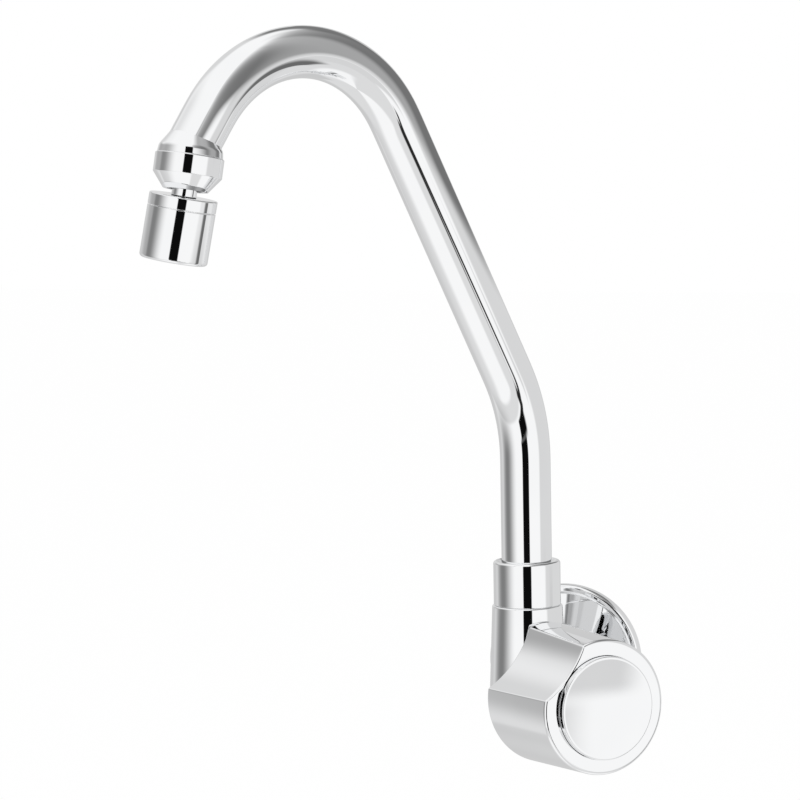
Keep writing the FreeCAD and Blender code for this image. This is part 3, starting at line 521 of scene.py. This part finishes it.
# Aerator sleeve: thin turned brass, chromed, screwed up against the head so that a fine seam shows. Its
# foot is rounded and its lip holds the plastic insert.
seam_gap, sleeve_length, sleeve_lip, lip_height = 0.25 * mm, 18.8 * mm, 9.4 * mm, 1.2 * mm
sleeve_foot_round, sleeve_lip_round = 1.3 * mm, 0.5 * mm
sleeve_bore, sleeve_top = head_spigot + screw_clearance, head_foot + seam_gap
sleeve_foot = sleeve_top + sleeve_length
sleeve_outline = eased(
    [(sleeve_bore, sleeve_top), (head_radius, sleeve_top), (head_radius, sleeve_foot),
     (sleeve_lip, sleeve_foot), (sleeve_lip, sleeve_foot - lip_height),
     (sleeve_bore, sleeve_foot - lip_height)],
    [0, seam_round, sleeve_foot_round, sleeve_lip_round, 0, 0])
aerator_sleeve = piece("aerator_sleeve", turned_chrome,
                       skin(spun(sleeve_outline, ball_top, aerator_way), looped=True))
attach(aerator_sleeve, "aerator_set")
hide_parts("aerator_shell")

# Knob: a deep cup of plated metal with one scoop cut in its side for the thumb. A square hole in its hub
# fits the spindle's key, and a screw from the front holds it there.
knob_radius, knob_back_radius = 25.2 * mm, 26.5 * mm
knob_back, knob_front, knob_floor = 14.8 * mm, 55.8 * mm, 52.8 * mm
cap_seat, knob_cavity, cavity_floor = 19.4 * mm, 17.4 * mm, 48.8 * mm
hub_radius, hub_foot, key_end = 7.2 * mm, 43.6 * mm, 51.7 * mm
key_half, key_heading, screw_hole = 2.6 * mm, math.radians(45), 2 * mm
back_inner_round, back_outer_round, front_round, seat_round = 0.4 * mm, 0.9 * mm, 1.3 * mm, 0.2 * mm
hub_round, hub_root_round, cavity_round = 0.4 * mm, 0.8 * mm, 1.5 * mm
scoop_radius, scoop_depth, scoop_heading = 40 * mm, 5.3 * mm, math.radians(139.5)
crease_softness, scoop_limit = 0.22 * mm, 0.62
knob_step, side_rows, seat_margin = 2.5, 8, 0.5 * mm
crease_angle, crease_spread, crease_steps = 31, 4, 33


def scooped_rim(angles, side):
    """Radius of the knob at each angle where its round side has a given radius: the nearer of that side and
    the scoop's cylinder, the two blended over a short softness; and its slope against the angle."""
    hub_to_scoop = knob_radius - scoop_depth + scoop_radius
    off = np.mod(angles - scoop_heading + math.pi, 2 * math.pi) - math.pi
    inside = np.abs(off) < scoop_limit
    lateral = np.where(inside, hub_to_scoop * np.sin(off), 0)
    depth = np.sqrt(scoop_radius ** 2 - lateral ** 2)
    cut = np.where(inside, hub_to_scoop * np.cos(off) - depth, 2 * knob_radius)
    share = np.exp(-np.logaddexp(0, (cut - side) / crease_softness))
    radius = -crease_softness * np.logaddexp(-cut / crease_softness, -side / crease_softness)
    cut_slope = hub_to_scoop * (lateral * np.cos(off) / depth - np.sin(off))
    return radius, np.where(inside, share * cut_slope, 0)


def knob_grid():
    """The knob's outline carried round its axis: outer points follow the scooped rim, the key hole's points
    follow a square, and the rest stay round. The normal leans back by the rim's slope. The angles lie
    closer together at the scoop's two creases."""
    crease_turns = np.radians(crease_angle + np.linspace(-crease_spread, crease_spread, crease_steps))
    creases = scoop_heading + np.array([-1, 1])[:, None] * crease_turns
    even_angles = np.radians(np.arange(0, 360, knob_step))
    angles = np.unique(np.concatenate([even_angles, creases.ravel() % (2 * math.pi)]))
    side_shares = np.linspace(0, 1, 1 + side_rows)[1:-1]
    side_corners = np.stack([knob_back_radius + side_shares * (knob_radius - knob_back_radius),
                             knob_back + side_shares * (knob_front - knob_back)], axis=1)
    points, before, after = eased(
        [(knob_cavity, knob_back), (knob_back_radius, knob_back), *side_corners, (knob_radius, knob_front),
         (cap_seat, knob_front), (cap_seat, knob_floor), (screw_hole, knob_floor), (screw_hole, key_end),
         (key_half, key_end), (key_half, hub_foot), (hub_radius, hub_foot), (hub_radius, cavity_floor),
         (knob_cavity, cavity_floor)],
        [back_inner_round, back_outer_round, *np.zeros(side_rows - 1), front_round,
         seat_round, 0, 0, 0, 0, 0, hub_round, hub_root_round, cavity_round])
    share = np.clip((points[:, 1:] - knob_back) / (knob_front - knob_back), 0, 1)
    side_radius = knob_back_radius + share * (knob_radius - knob_back_radius)
    rim, slope = scooped_rim(angles, side_radius)
    outer = points[:, :1] > cap_seat + seat_margin
    square = np.isclose(points[:, :1], key_half)
    corner = 1 / np.maximum(np.abs(np.cos(angles - key_heading)), np.abs(np.sin(angles - key_heading)))
    radii = points[:, :1] + np.where(outer, rim - side_radius, 0)
    radii = np.where(square, key_half * corner, radii)
    side, across = around(valve_way)
    spokes = turned(side, across, angles)
    place = spout_foot + radii[..., None] * spokes + points[:, 1:, None] * valve_way
    lean_back = np.where(outer, slope / radii, 0)[..., None] * turned(across, -side, angles)
    normals = [unit(flat[:, :1, None] * (spokes - lean_back) + flat[:, 1:, None] * valve_way)
               for flat in (before, after)]
    return place, *normals


knob_chrome = chrome_plate("chrome on the knob", haze=0.03, ripple=0.015)
knob = piece("knob_grip", knob_chrome, skin(knob_grid(), looped=True))
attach(knob, "knob_set")
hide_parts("knob")

# Knob cap: a thin plated disc pressed into the knob's front over the screw. It stands proud of the knob's
# ring, and its face is a shallow bare dish.
cap_radius, cap_top, cap_under, cap_wall = 19.3 * mm, 58.4 * mm, 56.2 * mm, 1.4 * mm
cap_edge, cap_land, dish_inset, dish_depth = 0.5 * mm, 1 * mm, 1.1 * mm, 0.7 * mm
cap_under_round = 0.3 * mm
cap_inside = cap_radius - cap_wall


def dished_face(rim, top, depth, rows=20):
    """A shallow dish from its rim to its middle: the depth grows from nothing at the rim as one less the
    square of the radius share."""
    shares = np.linspace(1, 0, rows)
    normals = unit(np.stack([-2 * depth * shares / rim, np.ones(rows)], axis=1))
    return np.stack([rim * shares, top - depth * (1 - shares ** 2)], axis=1), normals, normals


cap_side = eased(
    [(0, cap_under), (cap_inside, cap_under), (cap_inside, knob_floor), (cap_radius, knob_floor),
     (cap_radius, cap_top), (cap_radius - cap_land, cap_top)],
    [0, cap_under_round, 0, 0, cap_edge, 0], closed=False)
cap_dish = dished_face(cap_radius - dish_inset, cap_top, dish_depth)
cap_outline = [np.concatenate(rows) for rows in zip(cap_side, cap_dish)]
cap_chrome = chrome_plate("chrome on the knob's cap", haze=0.03, ripple=0.01)
knob_cap = piece("knob_face", cap_chrome, skin(spun(cap_outline, spout_foot, valve_way, steps=160)))
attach(knob_cap, "knob_set")
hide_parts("knob_cap")

# Valve headwork and ferrule: bonnet, spindle, plunger, washer screw and the tube's ferrule are turned from
# bright brass bar and stay bare, with the fine rings that the lathe leaves round each axis.
brass_low, brass_high = (0.66, 0.49, 0.24), (0.78, 0.62, 0.35)
brass_roughness, brass_clouds = (0.22, 0.34), 90.0
ring_pitch, ring_height, ring_strength = 0.25 * mm, 0.05 * mm, 0.15


def turned_brass(name, foot, way):
    """Bare brass with rings: the sine of the distance along an axis plus the distance out from it."""
    material, start = new_material(name)
    place = start.node("TexCoord", {}, {}, "Object")
    lay = Vector((0, 0, 1)).rotation_difference(Vector(way)).to_euler()
    laid = start.node("Mapping", {"vector_type": "TEXTURE"},
                      {"Vector": place, "Location": tuple(foot), "Rotation": lay})
    parts = start.node("SeparateXYZ", {}, {0: laid})
    x, y, z = (Shade(start.tree, socket) for socket in parts.socket.node.outputs)
    out = start.math("SQRT", x * x + y * y)
    rings = start.math("SINE", (z + out) * (2 * math.pi / ring_pitch))
    cloud = noise(start, place, brass_clouds)
    bump = start.node("Bump", {}, {"Strength": ring_strength, "Distance": ring_height, "Height": rings})
    finished(start, cloud, (brass_low, brass_high), brass_roughness, bump, metallic=1.0)
    return material


def finish_nodes(material, *names):
    """Give CAD pieces their finish."""
    for name in names:
        mesh = frame["nodes"][name].data
        mesh.materials.clear()
        mesh.materials.append(material)


valve_brass = turned_brass("bare brass of the headwork", spout_foot, valve_way)
ferrule_brass = turned_brass("bare brass of the ferrule", spout_foot, up)
finish_nodes(valve_brass, "bonnet", "spindle", "plunger", "washer_screw")
finish_nodes(ferrule_brass, "spout_ferrule")

# Seals: the wall seal, gaskets, O-rings, seat washer and ball seal are moulded black rubber, dull with a
# slight bloom, squeezed between the metal pieces.
rubber_low, rubber_high, rubber_roughness = (0.02, 0.02, 0.021), (0.05, 0.05, 0.053), (0.55, 0.75)
rubber_bloom, rubber_grain, rubber_relief = 160.0, 2500.0, 0.2
grain_height, cloud_detail = 0.1 * mm, 3.0


def grained(name, colours, roughness, clouds, grain, relief, metallic=0.0):
    """A finish with cloudy noise in its colour and roughness, and finer noise that lifts the surface."""
    material, start = new_material(name)
    place = start.node("TexCoord", {}, {}, "Object")
    cloud = noise(start, place, clouds, cloud_detail)
    height = noise(start, place, grain)
    bump = start.node("Bump", {}, {"Strength": relief, "Distance": grain_height, "Height": height})
    finished(start, cloud, colours, roughness, bump, metallic)
    return material


rubber = grained("black rubber", (rubber_low, rubber_high), rubber_roughness,
                 rubber_bloom, rubber_grain, rubber_relief)
finish_nodes(rubber, "wall_seal", "bonnet_gasket", "seat_washer", "spindle_o_rings", "spout_o_rings",
             "ball_seal", "aerator_gasket")

# Plastic pieces: the slip ring, the ball's seat and the aerator's insert are moulded in pale plastic, a
# little cloudy and slightly grained.
plastic_low, plastic_high, plastic_roughness = (0.80, 0.81, 0.80), (0.87, 0.88, 0.87), (0.35, 0.5)
plastic_clouds, plastic_grain, plastic_relief = 120.0, 3000.0, 0.1
plastic = grained("pale moulded plastic", (plastic_low, plastic_high), plastic_roughness,
                  plastic_clouds, plastic_grain, plastic_relief)
finish_nodes(plastic, "slip_ring", "ball_seat", "aerator_insert")

# Steel pieces: the knob's screw, the spindle's spring clip and the aerator's two screens are bright
# stainless steel, the screens woven from fine wire.
steel_low, steel_high, steel_roughness = (0.58, 0.59, 0.61), (0.68, 0.69, 0.71), (0.2, 0.3)
steel_clouds, steel_grain, steel_relief = 200.0, 2200.0, 0.12
steel = grained("bright stainless steel", (steel_low, steel_high), steel_roughness,
                steel_clouds, steel_grain, steel_relief, metallic=1.0)
finish_nodes(steel, "knob_screw", "spindle_clip", "aerator_screens")

# Camera: a long lens a little to the right of the wall's square and slightly above, level with the arch.
image_width, focal_pixels, sensor_width = 800, 4300, 36.0
aim_pixel, aim_point = (527.36, 604.0), spout_foot + socket_top * up
camera_turn, camera_fall, camera_roll = math.radians(15.76), math.radians(6), -0.0170
pixels_per_metre = 2639.3
camera_right = np.array([math.cos(camera_turn), math.sin(camera_turn), 0])
camera_forward = np.array([-math.sin(camera_turn) * math.cos(camera_fall),
                           math.cos(camera_turn) * math.cos(camera_fall), -math.sin(camera_fall)])
camera_up = np.cross(camera_right, camera_forward)
rolled_right = camera_right * math.cos(camera_roll) + camera_up * math.sin(camera_roll)
rolled_up = camera_up * math.cos(camera_roll) - camera_right * math.sin(camera_roll)
aim_depth = focal_pixels / pixels_per_metre
offset = (np.array(aim_pixel) - image_width / 2) / focal_pixels * aim_depth
camera_place = aim_point - offset[0] * rolled_right + offset[1] * rolled_up - aim_depth * camera_forward
lens = bpy.data.cameras.new("camera")
lens.sensor_width = sensor_width
lens.lens = focal_pixels / image_width * sensor_width
camera = bpy.data.objects.new("camera", lens)
camera.matrix_world = Matrix.Translation(Vector(camera_place)) @ Matrix(
    np.stack([rolled_right, rolled_up, -camera_forward], axis=1).tolist()).to_4x4()
bpy.context.collection.objects.link(camera)
scene = bpy.context.scene
scene.camera = camera
scene.view_settings.view_transform = "Standard"

# Tent: a round tent of white cloth about the studio, which mirrors alone see. Each card on it has its sides
# in degrees round from the lens, its heights in degrees above level, and its shade. Each edge is a pair of
# angles that the card fades over, and a later card covers an earlier one.
tent_radius, tent_rows, tent_steps = 6.0, 48, 96
no_start, no_end = (-400, -399), (399, 400)
cards = (
    ((*no_start, *no_end), (*no_start, -30, -27), 0.76),  # ground sheet
    ((-100, -65, -5, 8), (*no_start, -42, -38), 1.0),  # white board on the ground, left
    ((55, 70, 140, 170), (*no_start, -58, -50), 1.0),  # white board on the ground, right
    ((-150, -95, -90, -40), (-45, -8, 5, 60), 0.22),  # soft dark card, left
    ((52, 58, 150, 175), (-34, -30, -14.5, -12), 0.71),  # grey card, right, lower half
    ((61, 70, 150, 175), (-14, -11, 60, 80), 0.72),  # grey card, right, upper half
    ((145, 160, *no_end), (-60, -50, 42, 55), 0.62),  # grey card behind, right
    ((*no_start, -140, -118), (-45, -30, 0, 10), 0.62),  # grey card behind, left, lower half
    ((*no_start, -150, -128), (0, 10, 42, 55), 0.72),  # grey card behind, left, upper half
    ((-160, -132, -112, -98), (0, 8, 15, 26), 0.42),  # small card over the gap on the left
    ((135, 150, *no_end), (18, 28, 42, 55), 0.2),  # dark strip high behind, right
    ((*no_start, -175, -162), (24, 32, 42, 55), 0.2),  # dark strip high behind, left
    ((78, 87, 95, 98), (-45, -38, -14, -8), 0.15),  # dark post, right
    ((-16, -13.5, 12.5, 15), (-19, -15, 34, 40), 0.004),  # slit for the lens
    ((-12, -9, 18, 26), (-27, -25.5, -18, -14), 0.004),  # black foot of the slit
    ((16, 22, 38, 46), (-27.5, -26.5, -24.5, -23), 0.02),  # black bar beside the foot
    ((16, 20, 27, 32), (-31, -29, -23, -22), 0.02),  # black block under the bar
)
tent_centre = (np.array(cad_box[0]) + np.array(cad_box[1])) / 2
to_lens = unit(np.array([-camera_forward[0], -camera_forward[1], 0]))


def measured(start, origin, *ways):
    """How far the shaded point lies from an origin along each of some ways."""
    place = start.node("TexCoord", {}, {}, "Object")
    apart = start.node("VectorMath", {"operation": "SUBTRACT"}, {0: place, 1: tuple(origin)})
    return [start.node("VectorMath", {"operation": "DOT_PRODUCT"}, {0: apart, 1: tuple(way)}, "Value")
            for way in ways]


def rising(value, start, stop):
    """0 below start, 1 above stop, and smooth between."""
    return value.node("MapRange", {"interpolation_type": "SMOOTHSTEP"},
                      {"Value": value, "From Min": start, "From Max": stop})


def between(value, edges):
    """1 between the two inner edges, 0 beyond the two outer ones, and smooth on the way."""
    return rising(value, edges[0], edges[1]) * (1 - rising(value, edges[2], edges[3]))


def glow(start, light):
    """The light of a grey level."""
    grey = start.node("CombineColor", {}, {0: light, 1: light, 2: light})
    return start.node("Emission", {}, {"Color": grey})


def for_mirrors(made):
    """Show a stage piece to mirrors alone, and keep its glow from lighting anything by itself."""
    for rays in ("camera", "diffuse", "shadow", "transmission", "volume_scatter"):
        setattr(made, "visible_" + rays, False)
    made.data.materials[0].cycles.emission_sampling = "NONE"


tent_cloth, tent_start = new_material("tent cloth")
right_reach, lens_reach, up_reach = measured(tent_start, tent_centre, camera_right, to_lens, up)
azimuth = tent_start.math("ARCTAN2", right_reach, lens_reach) * math.degrees(1)
elevation = tent_start.math("ARCSINE", up_reach / tent_radius) * math.degrees(1)
tent_light = 1.0
for sides, heights, shade in cards:
    mask = between(azimuth, sides) * between(elevation, heights)
    tent_light = tent_light * (1 - mask) + shade * mask
tent_start.node("OutputMaterial", {}, {"Surface": glow(tent_start, tent_light)})
tent_angles = np.linspace(0, math.pi, 1 + tent_rows)
tent_ways = np.stack([np.sin(tent_angles), -np.cos(tent_angles)], axis=1)
tent_outline = (tent_radius * tent_ways, -tent_ways, -tent_ways)
tent = piece("tent", tent_cloth, skin(spun(tent_outline, tent_centre, up, tent_steps)))
for_mirrors(tent)

# Grey flag: a cloth on a frame to the right of the spout, which mirrors alone see. It is lighter across its
# middle, and its lower edge slants up towards the lens. Depths run from the spout's axis to the lens.
flag_right, flag_shade, flag_window = 0.18, 0.18, 0.4
flag_depths, flag_heights = (-0.59, -0.52, 0.2, 2.0), (0.172, 0.225, 0.3, 1.5)
window_depths = (-0.04, 0.06, 0.11, 0.26)
flag_bend, flag_slant = 0.1, 0.5


def sheet(name, material, corners):
    """A flat stage piece of one face."""
    mesh = bpy.data.meshes.new(name)
    mesh.from_pydata(corners, [], [(0, 1, 2, 3)])
    mesh.materials.append(material)
    made = bpy.data.objects.new(name, mesh)
    bpy.context.collection.objects.link(made)
    return made


flag_cloth, flag_start = new_material("grey flag")
flag_depth, flag_height = measured(flag_start, spout_foot, to_lens, up)
flag_level = flag_height - flag_slant * flag_start.math("MAXIMUM", flag_depth - flag_bend, 0.0)
flag_mask = between(flag_depth, flag_depths) * between(flag_level, flag_heights)
flag_light = flag_shade + (flag_window - flag_shade) * between(flag_depth, window_depths)
flag_start.node("OutputMaterial", {}, {"Surface": flag_start.node("MixShader", {}, {
    0: flag_mask, 1: flag_start.node("BsdfTransparent", {}, {}), 2: glow(flag_start, flag_light)})})
flag_foot = spout_foot + flag_right * camera_right
flag_corners = [flag_foot + flag_depths[end] * to_lens + flag_heights[edge] * up
                for end, edge in ((0, 0), (-1, 0), (-1, -1), (0, -1))]
flag = sheet("flag", flag_cloth, flag_corners)
for_mirrors(flag)

# Floor: a pale painted board far below, which the lens sees nearly white and mirrors don't see.
floor_drop, floor_half, floor_grey, floor_white_share = 0.35, 6.0, 0.9, 0.96
white = (1, 1, 1, 1)
floor_paint, floor_start = new_material("pale floor")
floor_matte = floor_start.node("BsdfDiffuse", {}, {"Color": (floor_grey, floor_grey, floor_grey, 1)})
floor_white = floor_start.node("Emission", {}, {"Color": white})
seen = floor_start.node("LightPath", {}, {}, "Is Camera Ray")
floor_start.node("OutputMaterial", {}, {"Surface": floor_start.node(
    "MixShader", {}, {0: floor_white_share * seen, 1: floor_matte, 2: floor_white})})
floor_corners = floor_half * np.array([[-1, -1, 0], [1, -1, 0], [1, 1, 0], [-1, 1, 0]]) - floor_drop * up
floor = sheet("floor", floor_paint, floor_corners)
floor.visible_glossy = False

# Light: white air all round, which shines on matt things a little less than it shows, and two soft lamps,
# each with its place, width and power.
air_shine, air_shown = 0.95, 1.0
lamps = (("key", (-0.9, -1.1, 1.3), 1.0, 14.0), ("fill", (1.2, -0.9, 0.7), 0.9, 7.0))
world = bpy.data.worlds.new("studio air")
world.use_nodes = True
world.node_tree.nodes.clear()
scene.world = world
air = Shade(world.node_tree)
rays = air.node("LightPath", {}, {}).socket.node.outputs
to_camera, to_mirror, through = (
    Shade(air.tree, rays[name]) for name in ("Is Camera Ray", "Is Glossy Ray", "Is Transmission Ray"))
shown = air.math("MINIMUM", to_camera + to_mirror + through, 1.0)
air.node("OutputWorld", {}, {"Surface": air.node(
    "Background", {}, {"Color": white, "Strength": air_shine + (air_shown - air_shine) * shown})})
for name, place, width, power in lamps:
    light = bpy.data.lights.new(name, "AREA")
    light.size = width
    light.energy = power
    lamp = bpy.data.objects.new(name, light)
    lamp.location = place
    lamp.rotation_euler = (Vector(tent_centre) - Vector(place)).to_track_quat("-Z", "Y").to_euler()
    lamp.visible_glossy = False
    bpy.context.collection.objects.link(lamp)
